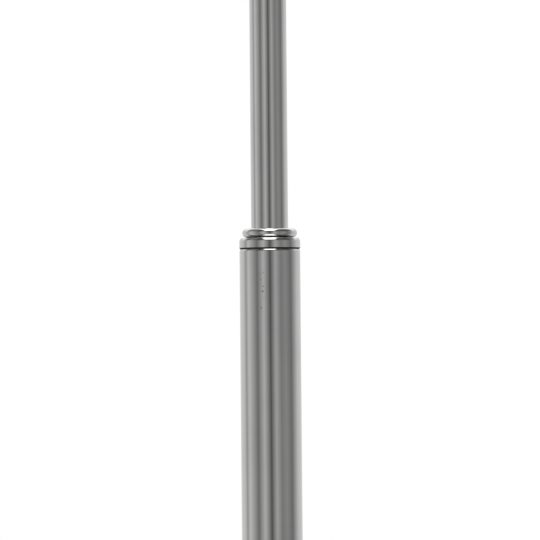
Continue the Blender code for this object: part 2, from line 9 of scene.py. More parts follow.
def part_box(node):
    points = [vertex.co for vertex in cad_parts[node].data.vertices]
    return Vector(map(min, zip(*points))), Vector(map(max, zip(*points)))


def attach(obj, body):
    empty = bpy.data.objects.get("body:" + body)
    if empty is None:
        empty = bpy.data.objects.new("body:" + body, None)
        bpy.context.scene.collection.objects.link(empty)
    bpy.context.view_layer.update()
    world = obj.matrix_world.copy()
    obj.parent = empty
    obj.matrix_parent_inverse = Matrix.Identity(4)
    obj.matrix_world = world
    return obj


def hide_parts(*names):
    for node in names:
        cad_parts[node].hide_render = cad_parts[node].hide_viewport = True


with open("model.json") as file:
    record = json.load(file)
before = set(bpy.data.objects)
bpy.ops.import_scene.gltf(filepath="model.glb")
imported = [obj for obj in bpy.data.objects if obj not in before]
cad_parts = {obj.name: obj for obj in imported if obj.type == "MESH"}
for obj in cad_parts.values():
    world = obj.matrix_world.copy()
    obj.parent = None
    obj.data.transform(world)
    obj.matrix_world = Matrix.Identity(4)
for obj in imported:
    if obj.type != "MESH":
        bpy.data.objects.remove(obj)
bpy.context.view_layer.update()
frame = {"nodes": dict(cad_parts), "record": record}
bodyOf = {
    node: body for body, nodes in frame["record"]["behaviour"]["bodies"].items() for node in nodes
}
print("Loaded", len(frame["nodes"]), "nodes of the bar")


# Lowest place, highest place and radius of a CAD node
def spanOf(node):
    low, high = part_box(node)
    return low.x, high.x, high.z


# A number that changes over a surface: arithmetic on it adds Math nodes
class Field:
    def __init__(self, nodes, socket):
        self.nodes = nodes
        self.socket = socket

    def maths(self, operation, first, second=0.0):
        return self.nodes.add("Math", {"operation": operation}, {0: first, 1: second})

    def __add__(self, other):
        return self.maths("ADD", self, other)

    def __sub__(self, other):
        return self.maths("SUBTRACT", self, other)

    def __rsub__(self, other):
        return self.maths("SUBTRACT", other, self)

    def __mul__(self, other):
        return self.maths("MULTIPLY", self, other)

    def __truediv__(self, other):
        return self.maths("DIVIDE", self, other)

    def __pow__(self, other):
        return self.maths("POWER", self, other)

    __radd__ = __add__


class NodeSet:
    def __init__(self, tree):
        self.tree = tree

    # Settings go first, because some of them change which sockets there are
    def add(self, kind, settings=None, inputs=None, output=0):
        node = self.tree.nodes.new("ShaderNode" + kind)
        for name, value in (settings or {}).items():
            if name == "stops":
                self.setStops(node.color_ramp, value)
            else:
                setattr(node, name, value)
        for name, value in (inputs or {}).items():
            self.give(node.inputs[name], value)
        return Field(self, node.outputs[output])

    def setStops(self, ramp, stops):
        while len(ramp.elements) < len(stops):
            ramp.elements.new(1.0)
        for element, (position, colour) in zip(ramp.elements, stops):
            element.position = position
        for element, (position, colour) in zip(ramp.elements, stops):
            element.color = colour if len(colour) == 4 else (*colour, 1.0)

    def give(self, socket, value):
        if isinstance(value, Field):
            self.tree.links.new(value.socket, socket)
        else:
            socket.default_value = value

    def mixColours(self, share, first, second):
        colours = {0: share, 6: first, 7: second}
        return self.add("Mix", {"data_type": "RGBA"}, colours, output=2)

    def between(self, value, low, high, toLow=0.0, toHigh=1.0):
        settings = {"interpolation_type": "SMOOTHSTEP"}
        reach = {"From Min": low, "From Max": high, "To Min": toLow, "To Max": toHigh}
        return self.add("MapRange", settings, {"Value": value, **reach})

    def axes(self, where):
        return [self.add("SeparateXYZ", None, {0: where}, output=axis) for axis in "XYZ"]

    def distance(self, value, place):
        return self.add("Math", {"operation": "ABSOLUTE"}, {0: value - place})


# A material of the bar, with the patterns that its finishes share
class Finish(NodeSet):
    def __init__(self, name, slot, **uniform):
        self.material = bpy.data.materials.new(name)
        self.material.use_nodes = True
        self.slot = slot
        super().__init__(self.material.node_tree)
        self.shader = self.tree.nodes["Principled BSDF"]
        self.where = self.add("TexCoord", output="Object")
        for socket, value in uniform.items():
            self.give(self.shader.inputs[socket.replace("_", " ")], value)

    def feed(self, **fields):
        for socket, field in fields.items():
            self.give(self.shader.inputs[socket.replace("_", " ")], field)

    def stretched(self, along, across):
        settings = {"vector_type": "TEXTURE"}
        scale = (1 / along, 1 / across, 1 / across)
        return self.add("Mapping", settings, {"Vector": self.where, "Scale": scale})

    def cloud(self, scale, detail=3.0, roughness=0.5, where=None):
        inputs = {"Vector": where or self.where, "Scale": scale, "Detail": detail}
        return self.add("TexNoise", None, {**inputs, "Roughness": roughness})

    def cells(self, scale):
        return self.add("TexVoronoi", None, {"Vector": self.where, "Scale": scale})

    def alongAndOutwards(self):
        along, across, upright = self.axes(self.where)
        return along, (across * across + upright * upright) ** 0.5

    # Marks that go round the bar, as from a lathe: they change only along it and outwards
    def turnedMarks(self, scale):
        along, outwards = self.alongAndOutwards()
        where = self.add("CombineXYZ", None, {0: along, 1: outwards})
        return self.cloud(scale, 4.0, 0.6, where)

    def bump(self, height, distance, under=None):
        inputs = {"Strength": 1.0, "Distance": distance, "Height": height}
        if under:
            inputs["Normal"] = under
        return self.add("Bump", None, inputs)


chromeLook = {
    "bright": (0.600, 0.600, 0.594, 1.0),
    "dull": (0.545, 0.547, 0.545, 1.0),
    "roughness": 0.028,
    "smears": 0.030,  # how much rougher a smear is
    "smearsPerMetre": 26,
    "scratches": 0.03,
    "hairlines": (9, 1700),  # a metre, along the tube and across it
    "rings": (2600, 60),
    "waves": 0.000012,  # height of the slow waves left by drawing the tube
    "wavesPerMetre": (14, 55),
    "scratchHeight": 0.0000024,
    "pits": (0.27, 0.26, 0.25, 1.0),
    "pitsPerMetre": 430,
    "pitsFrom": (0.4045, 0.4065),  # a few pits in a row, near the mouth
    "pitsTo": (0.4310, 0.4290),
    "pitsSide": 0.0046,
    "pitsWidth": (0.0011, 0.0006),
    "pitsFront": (0.0, -0.002),
    "pitsOutside": (0.0165, 0.0170),  # on the thick tube only
    "pitEdge": (0.34, 0.22),
    "paintedShade": (0.020, 0.019, 0.018, 1.0),  # painted shade down the seam and under the bead
    "paintedShadeRoughness": 0.5,
    "seamPlace": 0.00055,  # beyond the thick tube's mouth
    "seamWidth": (0.0006, 0.00045),
    "seamOutside": (0.000095, 0.00007),
    "seamInside": (0.0160, 0.0164),
    "neckPlace": 0.0001,  # beyond the collar
    "neckWidth": (0.0005, 0.0003),
    "neckOutside": (0.0136, 0.0132),
    "neckInside": (0.0118, 0.0122),
    "neckSides": (0.003, 0.007),
}


def makeChrome():
    look = chromeLook
    chrome = Finish("polishedChrome", "chrome", Metallic=1.0)
    smears = chrome.between(chrome.cloud(look["smearsPerMetre"], 5.0, 0.62), 0.42, 0.72)
    lengthwise = chrome.cloud(1.0, 3.0, 0.7, chrome.stretched(*look["hairlines"]))
    around = chrome.cloud(1.0, 2.0, 0.6, chrome.stretched(*look["rings"]))
    hairlines = chrome.between(lengthwise, 0.60, 0.74)
    rings = chrome.between(around, 0.64, 0.78)
    marks = (hairlines + rings * 0.5) * 0.7
    colour = chrome.mixColours(smears * 0.6 + marks * 0.4, look["bright"], look["dull"])
    roughness = look["roughness"] + smears * look["smears"] + marks * look["scratches"]
    along, outwards = chrome.alongAndOutwards()
    across, upright = chrome.axes(chrome.where)[1:]
    aside = chrome.distance(upright, look["pitsSide"])
    row = chrome.between(aside, *look["pitsWidth"]) * chrome.between(across, *look["pitsFront"])
    row = row * chrome.between(along, *look["pitsFrom"]) * chrome.between(along, *look["pitsTo"])
    row = row * chrome.between(outwards, *look["pitsOutside"])
    pits = row * chrome.between(chrome.cells(look["pitsPerMetre"]), *look["pitEdge"])
    colour = chrome.mixColours(pits, colour, look["pits"])
    # Painted shade all round the seam, which also darkens the collar's lower rounding, and under
    # the bead, where it is left out at the front and back.
    mouth, radius = spanOf("thick_tube")[1:]
    outside, inside = look["seamOutside"]
    seam = chrome.between(chrome.distance(along, mouth + look["seamPlace"]), *look["seamWidth"])
    seam = seam * chrome.between(outwards, radius + outside, radius + inside)
    seam = seam * chrome.between(outwards, *look["seamInside"])
    neck = chrome.distance(along, spanOf("mouth_collar")[1] + look["neckPlace"])
    neck = chrome.between(neck, *look["neckWidth"])
    neck = neck * chrome.between(outwards, *look["neckOutside"])
    neck = neck * chrome.between(outwards, *look["neckInside"])
    paintedShade = seam + neck * chrome.between(chrome.distance(upright, 0.0), *look["neckSides"])
    colour = chrome.mixColours(paintedShade, colour, look["paintedShade"])
    roughness = roughness + paintedShade * look["paintedShadeRoughness"]
    waves = chrome.cloud(1.0, 2.0, 0.5, chrome.stretched(*look["wavesPerMetre"]))
    slow = chrome.bump(waves, look["waves"])
    fine = chrome.bump(1 - marks, look["scratchHeight"], slow)
    chrome.feed(Base_Color=colour, Roughness=roughness, Normal=fine)
    return chrome


zincLook = {
    "light": (0.60, 0.61, 0.62, 1.0),
    "dark": (0.44, 0.44, 0.43, 1.0),
    "gold": (0.62, 0.57, 0.45, 1.0),  # the faint yellow of a passivated plating
    "roughness": 0.30,
    "spanglePerMetre": 420,
    "bloomPerMetre": 60,
    "turnedPerMetre": 2600,
    "grooveHeight": 0.00004,
}


def makeZinc():
    look = zincLook
    zinc = Finish("zincPlate", "zinc_steel", Metallic=1.0)
    spangle = zinc.cells(look["spanglePerMetre"])
    bloom = zinc.between(zinc.cloud(look["bloomPerMetre"], 4.0, 0.6), 0.45, 0.75)
    turned = zinc.turnedMarks(look["turnedPerMetre"])
    base = zinc.mixColours(spangle * 0.5, look["light"], look["dark"])
    colour = zinc.mixColours(bloom * 0.45, base, look["gold"])
    roughness = look["roughness"] + bloom * 0.12 + turned * 0.10
    grooves = zinc.bump(turned, look["grooveHeight"])
    zinc.feed(Base_Color=colour, Roughness=roughness, Normal=grooves)
    return zinc


blackPaintLook = {
    "paint": (0.012, 0.0125, 0.013, 1.0),
    "faded": (0.026, 0.026, 0.027, 1.0),
    "roughness": 0.40,
    "fadingPerMetre": 35,
    "specksPerMetre": 1400,
    "peelPerMetre": 900,
    "peelHeight": 0.00005,
}


def makeBlackPaint():
    look = blackPaintLook
    paint = Finish("blackPowderCoat", "black_steel", IOR=1.5)
    fading = paint.between(paint.cloud(look["fadingPerMetre"], 5.0, 0.65), 0.4, 0.7)
    peel = paint.cloud(look["peelPerMetre"], 2.0, 0.5)
    specks = paint.between(paint.cells(look["specksPerMetre"]), 0.0, 0.16, 1.0, 0.0)
    colour = paint.mixColours(fading * 0.7 + specks * 0.2, look["paint"], look["faded"])
    roughness = look["roughness"] + fading * 0.12 + specks * 0.15
    skin = paint.bump(peel + specks * 0.3, look["peelHeight"])
    paint.feed(Base_Color=colour, Roughness=roughness, Normal=skin)
    return paint


brassLook = {
    "light": (0.72, 0.55, 0.27, 1.0),
    "tarnish": (0.46, 0.33, 0.15, 1.0),
    "roughness": 0.24,
    "tarnishPerMetre": 90,
    "turnedPerMetre": 3200,
    "grooveHeight": 0.00004,
}


def makeBrass():
    look = brassLook
    brass = Finish("turnedBrass", "brass", Metallic=1.0)
    tarnish = brass.between(brass.cloud(look["tarnishPerMetre"], 5.0, 0.65), 0.42, 0.72)
    turned = brass.turnedMarks(look["turnedPerMetre"])
    colour = brass.mixColours(tarnish * 0.6, look["light"], look["tarnish"])
    roughness = look["roughness"] + tarnish * 0.18 + turned * 0.1
    grooves = brass.bump(turned, look["grooveHeight"])
    brass.feed(Base_Color=colour, Roughness=roughness, Normal=grooves)
    return brass


nylonLook = {
    "white": (0.78, 0.77, 0.73, 1.0),
    "stained": (0.62, 0.60, 0.54, 1.0),
    "roughness": 0.42,
    "stainsPerMetre": 70,
    "grainPerMetre": 2600,
    "grainHeight": 0.00003,
}


def makeNylon():
    look = nylonLook
    nylon = Finish("whiteNylon", "white_nylon", IOR=1.53, Subsurface_Weight=0.15)
    nylon.feed(Subsurface_Radius=(0.001, 0.001, 0.0008))
    stains = nylon.between(nylon.cloud(look["stainsPerMetre"], 5.0, 0.6), 0.5, 0.8)
    grain = nylon.cloud(look["grainPerMetre"], 3.0, 0.6)
    colour = nylon.mixColours(stains * 0.5, look["white"], look["stained"])
    roughness = look["roughness"] + grain * 0.15 + stains * 0.1
    skin = nylon.bump(grain, look["grainHeight"])
    nylon.feed(Base_Color=colour, Roughness=roughness, Normal=skin)
    return nylon


rubberLook = {
    "black": (0.010, 0.010, 0.0105, 1.0),
    "bloom": (0.040, 0.039, 0.038, 1.0),  # the grey dust that rubber grows
    "roughness": 0.62,
    "bloomPerMetre": 48,
    "pitsPerMetre": 1100,
    "grainPerMetre": 2400,
    "grainHeight": 0.00006,
}


def makeRubber():
    look = rubberLook
    rubber = Finish("blackRubber", "black_rubber", IOR=1.5, Specular_IOR_Level=0.4)
    bloom = rubber.between(rubber.cloud(look["bloomPerMetre"], 6.0, 0.68), 0.42, 0.78)
    grain = rubber.cloud(look["grainPerMetre"], 3.0, 0.6)
    pits = rubber.between(rubber.cells(look["pitsPerMetre"]), 0.0, 0.2, 1.0, 0.0)
    colour = rubber.mixColours(bloom * 0.55 + grain * 0.15, look["black"], look["bloom"])
    roughness = look["roughness"] + bloom * 0.2 + grain * 0.1
    skin = rubber.bump(grain - pits * 0.4, look["grainHeight"])
    rubber.feed(Base_Color=colour, Roughness=roughness, Normal=skin)
    return rubber


foamLook = {
    "black": (0.009, 0.009, 0.0095, 1.0),
    "worn": (0.046, 0.045, 0.043, 1.0),
    # painted shade in the foam's open pores, darker than the foam itself
    "poreShade": (0.003, 0.003, 0.003, 1.0),
    "roughness": 0.82,
    "cellsPerMetre": 1050,
    "cellHeight": 0.00035,
    "poresPerMetre": 560,
    "wearPerMetre": 30,
    "rubbed": (70, 22),  # a metre, along the grip and across it
    "creases": (150, 60),
    "creaseHeight": 0.0006,
}


def makeFoam():
    look = foamLook
    foam = Finish("blackFoam", "black_foam", IOR=1.45, Specular_IOR_Level=0.35)
    foam.feed(Sheen_Weight=0.15, Sheen_Roughness=0.5)
    walls = foam.between(foam.cells(look["cellsPerMetre"]), 0.05, 0.55)
    small = foam.between(foam.cells(look["cellsPerMetre"] * 2.6), 0.0, 0.6)
    pores = foam.between(foam.cells(look["poresPerMetre"]), 0.27, 0.12)
    wear = foam.between(foam.cloud(look["wearPerMetre"], 5.0, 0.65), 0.42, 0.74)
    rubbed = foam.cloud(1.0, 4.0, 0.6, foam.stretched(*look["rubbed"]))
    rubbed = foam.between(rubbed, 0.48, 0.70)
    skin = walls * 0.7 + small * 0.3
    share = wear * 0.40 + rubbed * 0.22 + skin * 0.26
    colour = foam.mixColours(share, look["black"], look["worn"])
    # The pores are painted darker, as painted shade in their holes
    colour = foam.mixColours(pores * 0.8, colour, look["poreShade"])
    roughness = look["roughness"] + wear * 0.1 - skin * 0.06
    folds = foam.cloud(1.0, 3.0, 0.55, foam.stretched(*look["creases"]))
    creases = foam.bump(folds, look["creaseHeight"])
    cells = foam.bump(skin - pores * 0.8, look["cellHeight"], creases)
    foam.feed(Base_Color=colour, Roughness=roughness, Normal=cells)
    return foam


finishes = {
    made.slot: made
    for made in (
        makeChrome(), makeZinc(), makeBlackPaint(), makeBrass(), makeNylon(), makeRubber(),
        makeFoam(),
    )
}
print("Mixed", len(finishes), "finishes")

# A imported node's material is named for its slot, and takes that slot's finish.
# The nodes in view are replaced further down.
for packed in frame["nodes"].values():
    slotName = packed.material_slots[0].material.name
    packed.material_slots[0].material = finishes[slotName].material

turning = {
    "sides": 160,
    "roundSteps": 6,
    "bellSteps": 18,
    "support": 0.0004,  # ring beside each edge, so that shading stays flat up to it
    "merge": 0.0000005,
    "sliver": 0.000003,  # faces thinner than this after a cut are closed up
    "sharpAngle": math.radians(40),
}


def finishMesh(name, shape):
    mesh = bpy.data.meshes.new(name)
    shape.to_mesh(mesh)
    shape.free()
    mesh.shade_smooth()
    mesh.set_sharp_from_angle(angle=turning["sharpAngle"])
    piece = bpy.data.objects.new(name, mesh)
    bpy.context.scene.collection.objects.link(piece)
    return piece


# Corners go round half of the section: place along the bar, distance from its axis, rounding.
# A section that starts and ends on the axis makes a solid, any other a ring. A rounding of
# "full" reaches from the corner before to the corner after, as a quarter of an ellipse.
def turnSection(corners, sides=None, steps=None, longest=None):
    shape = bmesh.new()
    points = [shape.verts.new((place, 0.0, radius)) for place, radius, rounding in corners]
    onAxis = corners[0][1] == 0.0
    for first, second in zip(points, points[1:] if onAxis else points[1:] + points[:1]):
        shape.edges.new((first, second))
    for point, (place, radius, rounding) in zip(points, corners):
        full = rounding == "full"
        if rounding:
            bmesh.ops.bevel(
                shape, geom=[point], offset=100 if full else rounding,
                offset_type="PERCENT" if full else "OFFSET",
                segments=turning["bellSteps"] if full else steps or turning["roundSteps"],
                profile=0.5, affect="VERTICES", material=-1,
            )
    bmesh.ops.remove_doubles(shape, verts=shape.verts, dist=turning["merge"])
    for edge in list(shape.edges):
        long = edge.calc_length()
        if long > 4 * turning["support"]:
            added = bmesh.utils.edge_split(edge, edge.verts[0], turning["support"] / long)[1]
            longer = max(added.link_edges, key=lambda side: side.calc_length())
            share = turning["support"] / longer.calc_length()
            bmesh.utils.edge_split(longer, longer.other_vert(added), share)
    for edge in list(shape.edges) if longest else []:
        cuts = int(edge.calc_length() / longest)
        if cuts:
            bmesh.ops.subdivide_edges(shape, edges=[edge], cuts=cuts)
    bmesh.ops.spin(
        shape, geom=shape.verts[:] + shape.edges[:], cent=(0, 0, 0), axis=(1, 0, 0),
        dvec=(0, 0, 0), angle=math.tau, space=Matrix.Identity(4),
        steps=sides or turning["sides"], use_merge=True, use_duplicate=False,
    )
    bmesh.ops.remove_doubles(shape, verts=shape.verts, dist=turning["merge"])
    bmesh.ops.recalc_face_normals(shape, faces=shape.faces)
    return shape


def fit(piece, node, slot):
    piece.data.materials.append(finishes[slot].material)
    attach(piece, bodyOf[node])
    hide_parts(node)
    return piece


drilling = {"sides": 64, "length": 0.1, "turn": math.radians(1.7)}


# Cuts, joins or trims a piece with another, which is used up
def carve(piece, cutter, operation="DIFFERENCE"):
    cut = piece.modifiers.new("carve", "BOOLEAN")
    cut.operation = operation
    cut.solver = "EXACT"
    cut.object = cutter
    carved = bpy.data.meshes.new_from_object(
        piece.evaluated_get(bpy.context.evaluated_depsgraph_get())
    )
    piece.modifiers.clear()
    plain, piece.data = piece.data, carved
    carved.name = piece.name
    bpy.data.meshes.remove(plain)
    bpy.data.objects.remove(cutter)
    shape = bmesh.new()
    shape.from_mesh(carved)
    bmesh.ops.dissolve_degenerate(shape, edges=shape.edges, dist=turning["sliver"])
    shape.to_mesh(carved)
    shape.free()
    carved.shade_smooth()
    carved.set_sharp_from_angle(angle=turning["sharpAngle"])


# A round hole straight through, from top to underside, where a pin goes. Turned a little, the
# drill's sides don't lie along the edges of what it cuts.
def drill(piece, place, radius):
    shape = bmesh.new()
    bmesh.ops.create_cone(
        shape, cap_ends=True, segments=drilling["sides"], radius1=radius, radius2=radius,
        depth=drilling["length"], matrix=Matrix.Rotation(drilling["turn"], 4, "Z"),
    )
    bmesh.ops.translate(shape, vec=(place, 0, 0), verts=shape.verts)
    carve(piece, finishMesh("drill", shape))


# Rings cut round a tube keep a hole's uneven faces short
def ringCuts(shape, places):
    for place in places:
        geom = shape.verts[:] + shape.edges[:] + shape.faces[:]
        bmesh.ops.bisect_plane(
            shape, geom=geom, dist=turning["merge"], plane_co=(place, 0, 0), plane_no=(1, 0, 0)
        )


tubes = {
    "thickWall": 0.0015,
    "thinWall": 0.0020,
    "mouthChamfer": (0.0011, 0.00055),  # along the tube and inwards
    "mouthRounding": 0.0005,
    "edge": 0.0003,
    "bore": 0.0003,
    "holeGap": 0.0003,
    "aroundHole": 0.0045,
    "sides": 192,
}


def holePlaces(pins):
    found = []
    for pin in pins:
        low, high, reach = spanOf(pin)
        found.append(((low + high) / 2, (high - low) / 2 + tubes["holeGap"]))
    return found


def makeTube(node, wall, farCorners, pins):
    start, end, radius = spanOf(node)
    holes = holePlaces(pins)
    shape = turnSection(
        [
            (start, radius - wall, tubes["bore"]),
            (start, radius, tubes["edge"]),
            *farCorners,
            (end, radius - wall, tubes["bore"]),
        ],
        tubes["sides"],
    )
    for place, size in holes:
        ringCuts(shape, (place - tubes["aroundHole"], place + tubes["aroundHole"]))
    tube = finishMesh(node + "_polished", shape)
    for place, size in holes:
        drill(tube, place, size)
    fit(tube, node, "chrome")


def chamferAt(place, radius, chamfer, rounding):
    return [(place - chamfer[0], radius, rounding), (place, radius - chamfer[1], rounding * 0.5)]


thickEnd, thickRadius = spanOf("thick_tube")[1:]
rim = chamferAt(thickEnd, thickRadius, tubes["mouthChamfer"], tubes["mouthRounding"])
makeTube("thick_tube", tubes["thickWall"], rim, ["left_plug_pin", "screw_anchor_pin"])
thinEnd, thinRadius = spanOf("thin_tube")[1:]
plainEnd = [(thinEnd, thinRadius, tubes["edge"])]
makeTube("thin_tube", tubes["thinWall"], plainEnd, ["right_plug_pin"])
print("Drew both tubes")

collar = {
    "spigot": 0.0045,  # how far it goes down inside the thick tube
    "spigotRadius": 0.0157,
    "seam": 0.0005,
    "seamDepth": 0.0004,
    "boreGap": 0.0003,
    "topChamfer": (0.0015, 0.00085),
    "topRounding": 0.0006,
    "lowerRounding": 0.0004,
    "edge": 0.0002,
}
bead = {
    "section": 0.0052,
    "tailRadius": 0.0127,
    "tubeGap": 0.0003,
    "edge": 0.0002,
    "steps": 14,
}


def makeCollar():
    start, end, radius = spanOf("mouth_collar")
    seam = start + collar["spigot"]
    step = seam - collar["seam"] * 0.9  # just clear of the tube's rim
    bore = bead["tailRadius"] + collar["boreGap"]
    shape = turnSection(
        [
            (end, bore, collar["edge"]),
            *chamferAt(end, radius, collar["topChamfer"], collar["topRounding"])[::-1],
            (seam, radius, collar["lowerRounding"]),
            (seam, radius - collar["seamDepth"], 0),
            (step, radius - collar["seamDepth"], 0),
            (step, collar["spigotRadius"], 0),
            (start, collar["spigotRadius"], collar["edge"]),
            (start, bore, collar["edge"]),
        ],
        tubes["sides"],
    )
    fit(finishMesh("mouth_collar_polished", shape), "mouth_collar", "chrome")


# A nearly round section, with a tail that goes down inside the collar
def makeBead():
    start, end, radius = spanOf("bead_ring")
    half = bead["section"] / 2
    below = end - bead["section"]
    bore = spanOf("thin_tube")[2] + bead["tubeGap"]
    shape = turnSection(
        [
            (end, bore, radius - half - bore),
            (end, radius, half),
            (below, radius, half),
            (below, bead["tailRadius"], 0),
            (start, bead["tailRadius"], bead["edge"]),
            (start, bore, bead["edge"]),
        ],
        tubes["sides"],
        bead["steps"],
    )
    fit(finishMesh("bead_ring_polished", shape), "bead_ring", "chrome")


makeCollar()
makeBead()
print("Turned the collar and the bead")

# Both ends. What is drawn from the right pad's face inwards is turned round.
ends = {
    "padThickness": 0.006,
    "padRounding": 0.0015,
    "padInnerEdge": 0.0002,
    "lipWall": 0.0015,
    "lipReach": 0.003,
    "lipEdge": 0.0004,
    "grooves": (0.023, 0.017, 0.011),
    "grooveWidth": 0.002,
    "grooveDepth": 0.001,
    "grooveEdge": 0.00025,
    "mouldLine": 0.00015,
    "flangeThickness": 0.0027,
    "flangeEdge": 0.0004,
    "bellFootGap": 0.002,
    "leftBell": 0.009,
    "rightBell": 0.0122,
    "rightHubWall": 0.0032,
    "boreEdge": 0.0003,
    "pocket": 0.0103,  # hollow for the bolt's head
    "pocketDepth": 0.0067,
    "rightPocketDepth": 0.0086,
    "rightWeb": 0.006,
    "boltHole": 0.0053,
    "gap": 0.0003,
    "sides": 200,
}
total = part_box("right_rubber_pad")[1].x


def onRight(corners):
    return [(total - place, radius, rounding) for place, radius, rounding in corners]


def makePad(node):
    low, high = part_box(node)
    radius, lip = high.z, high.x - low.x
    size = ends["padThickness"]
    flange = radius - ends["lipWall"]
    inner = flange - ends["gap"] - ends["lipReach"]
    under = lip - ends["lipWall"]
    line, middle = ends["mouldLine"], lip * 0.5
    corners = [
        (size, 0.0, 0),
        (size, flange, ends["padInnerEdge"]),
        (under, flange, ends["padInnerEdge"]),
        (under, inner, ends["lipEdge"]),
        (lip, inner, ends["lipEdge"]),
        (lip, radius, ends["padRounding"]),
        (middle + line, radius, line / 2),
        (middle, radius - line, line / 2),
        (middle - line, radius, line / 2),
        (0.0, radius, ends["padRounding"]),
    ]
    for groove in ends["grooves"]:
        half, depth, edge = ends["grooveWidth"] / 2, ends["grooveDepth"], ends["grooveEdge"]
        corners += [
            (0.0, groove + half, edge),
            (depth, groove + half * 0.5, edge),
            (depth, groove - half * 0.5, edge),
            (0.0, groove - half, edge),
        ]
    corners.append((0.0, 0.0, 0))
    if node == "right_rubber_pad":
        corners = onRight(corners)
    shape = turnSection(corners, ends["sides"])
    fit(finishMesh(node + "_moulded", shape), node, "black_rubber")


def bellOutline(back, hub, hubEnd, bell):
    front = back + ends["flangeThickness"]
    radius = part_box("left_pad_flange")[1].z
    foot = radius - ends["lipReach"] - ends["bellFootGap"]
    return [
        (back, ends["pocket"], ends["boreEdge"]),
        (back, radius, ends["flangeEdge"]),
        (front, radius, ends["flangeEdge"]),
        (front, foot, 0),
        (front, hub, "full"),
        (front + bell, hub, 0),
        (hubEnd, hub, ends["flangeEdge"]),
    ]


def makeFlanges():
    start, end, radius = spanOf("left_pad_flange")
    hub = spanOf("thick_tube")[2]
    floorPlace = start + ends["pocketDepth"]
    left = bellOutline(start, hub, end, ends["leftBell"]) + [
        (end, ends["boltHole"], ends["boreEdge"]),
        (floorPlace, ends["boltHole"], 0),
        (floorPlace, ends["pocket"], 0),
    ]
    shape = turnSection(left, ends["sides"])
    fit(finishMesh("left_pad_flange_coated", shape), "left_pad_flange", "black_steel")
    start, end, radius = spanOf("right_pad_flange")
    back, hubEnd = total - end, total - start
    bore = spanOf("thin_tube")[2] + ends["gap"]
    hub = bore + ends["rightHubWall"]
    pocketFloor = back + ends["rightPocketDepth"]
    socketFloor = pocketFloor + ends["rightWeb"]
    right = bellOutline(back, hub, hubEnd, ends["rightBell"]) + [
        (hubEnd, bore, ends["boreEdge"]),
        (socketFloor, bore, 0),
        (socketFloor, ends["boltHole"], 0),
        (pocketFloor, ends["boltHole"], 0),
        (pocketFloor, ends["pocket"], 0),
    ]
    shape = turnSection(onRight(right), ends["sides"])
    fit(finishMesh("right_pad_flange_coated", shape), "right_pad_flange", "black_steel")


endPlug = {
    "flange": 0.0034,
    "wall": 0.0037,
    "floor": 0.0134,
    "flangeEdge": 0.0006,
    "tipEdge": 0.0005,
    "hollowEdge": 0.0003,
    "edge": 0.0002,
}


def makeEndPlug():
    start, end, radius = spanOf("left_end_plug")
    inside = radius - tubes["thickWall"] - ends["gap"]
    flangeEnd = start + endPlug["flange"]
    hollow, hollowFloor = inside - endPlug["wall"], start + endPlug["floor"]
    shape = turnSection([
        (start, ends["boltHole"], endPlug["edge"]),
        (start, radius, endPlug["flangeEdge"]),
        (flangeEnd, radius, endPlug["edge"]),
        (flangeEnd, inside, 0),
        (end, inside, endPlug["tipEdge"]),
        (end, hollow, endPlug["hollowEdge"]),
        (hollowFloor, hollow, endPlug["hollowEdge"]),
        (hollowFloor, ends["boltHole"], 0),
    ])
    plug = finishMesh("left_end_plug_turned", shape)
    for place, size in holePlaces(["left_plug_pin"]):
        drill(plug, place, size)
    fit(plug, "left_end_plug", "zinc_steel")


# Section of a plain ring that fills its CAD node, with its edges rounded
def ringCorners(node, bore, boreEdge, outerEdge):
    start, end, radius = spanOf(node)
    return [
        (start, bore, boreEdge), (start, radius, outerEdge),
        (end, radius, outerEdge), (end, bore, boreEdge),
    ]


washerEdges = (0.0002, 0.0004)


def makeThrustWasher():
    shape = turnSection(ringCorners("left_thrust_washer", ends["boltHole"], *washerEdges))
    fit(finishMesh("left_thrust_washer_turned", shape), "left_thrust_washer", "white_nylon")


makePad("left_rubber_pad")
makePad("right_rubber_pad")
makeFlanges()
makeEndPlug()
makeThrustWasher()
print("Moulded the pads and turned the ends")

pins = {
    "edge": 0.0005,
    "edgeSteps": 4,
    "land": 0.27,  # flat ring round the dimple, as a share of the pin's radius
    "dimpleSlope": 0.2,
    "dimpleDepth": 0.0004,
    "sides": 72,
}


# A pin stands upright through the bar, with rounded edges and a dimple in each end
def makePin(node):
    low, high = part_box(node)
    radius = (high.x - low.x) / 2
    shape = bmesh.new()
    bmesh.ops.create_cone(
        shape, cap_ends=True, segments=pins["sides"], radius1=radius, radius2=radius,
        depth=high.z - low.z,
    )
    bmesh.ops.translate(
        shape, vec=((low.x + high.x) / 2, 0, (low.z + high.z) / 2), verts=shape.verts
    )
    shape.normal_update()
    caps = [face for face in shape.faces if abs(face.normal.z) > 0.9]
    rims = [edge for face in caps for edge in face.edges]
    bmesh.ops.bevel(
        shape, geom=rims, offset=pins["edge"], segments=pins["edgeSteps"], profile=0.5,
        affect="EDGES", material=-1,
    )
    caps = [face for face in shape.faces if len(face.verts) == pins["sides"]]
    bmesh.ops.inset_region(shape, faces=caps, thickness=radius * pins["land"])
    bmesh.ops.inset_region(
        shape, faces=caps, thickness=radius * pins["dimpleSlope"], depth=-pins["dimpleDepth"]
    )
    bmesh.ops.recalc_face_normals(shape, faces=shape.faces)
    fit(finishMesh(node + "_turned", shape), node, "zinc_steel")


for pin in ("left_plug_pin", "screw_anchor_pin", "right_plug_pin"):
    makePin(pin)
print("Set the cross pins")

screw = {
    "lead": 0.005,
    "crest": 0.0016,
    "flank": 0.0007,
    "depth": 0.0009,
    "stepsPerTurn": 36,
    "weld": 0.000004,
    "turnsBefore": 1.2,  # thread wound before the shoulder, and trimmed off again
    "spare": 0.0005,
    "journal": 0.006,
    "journalEdge": 0.0005,
    "startStep": 0.0001,
    "clear": 0.0002,  # how far the blank stands outside the crests
    "endChamfer": 0.0011,
    "boltHole": 0.0033,
    "boltHoleEdge": 0.0002,
    "boltHoleDepth": 0.0143,
    "join": 0.001,
    "sides": 90,
}
anchorEdges = (0.0003, 0.0006)


